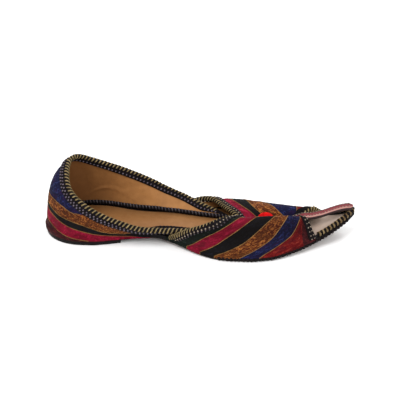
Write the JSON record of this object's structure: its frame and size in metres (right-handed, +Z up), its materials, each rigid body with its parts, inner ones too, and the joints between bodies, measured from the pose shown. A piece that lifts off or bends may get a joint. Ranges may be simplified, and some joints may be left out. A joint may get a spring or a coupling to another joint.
{
  "type": "ballet flat",
  "caption": "Right-foot slipper flat with a pointed curled toe, open toe and sides, striped upper, bound edges, toe strip and pompom on a flat leather sole.",
  "frame": {"origin": "middle of the heel lift's flat underside, on the floor", "axes": "+X from heel to toe, +Y to the inner (medial) side of the foot, +Z up"},
  "size_m": [0.258, 0.0846, 0.0602],
  "materials": {
    "upper": "striped brocade and velvet ribbons over leather, tan leather lining",
    "outsole": "dark edge-dyed sole leather",
    "heel_lift": "stacked leather, dark edge",
    "insole": "smooth tan leather",
    "collar_binding": "black tape with gold whip stitches",
    "throat_binding": "black tape with gold whip stitches",
    "toe_opening_binding": "black tape with gold whip stitches",
    "toe_rim_binding": "dark tape with brown and gold bars",
    "toe_strip": "maroon leather with pale running stitches",
    "pompom": "red yarn",
    "insole_piping": "dark whip-stitched cord"
  },
  "bodies": {
    "root": {"upper": "upper", "outsole": "outsole", "heel_lift": "heel_lift", "insole": "insole", "collar_binding": "collar_binding", "throat_binding": "throat_binding", "toe_opening_binding": "toe_opening_binding", "toe_rim_binding": "toe_rim_binding", "toe_strip": "toe_strip", "pompom": "pompom", "insole_piping": "insole_piping"}
  },
  "joints": []
}
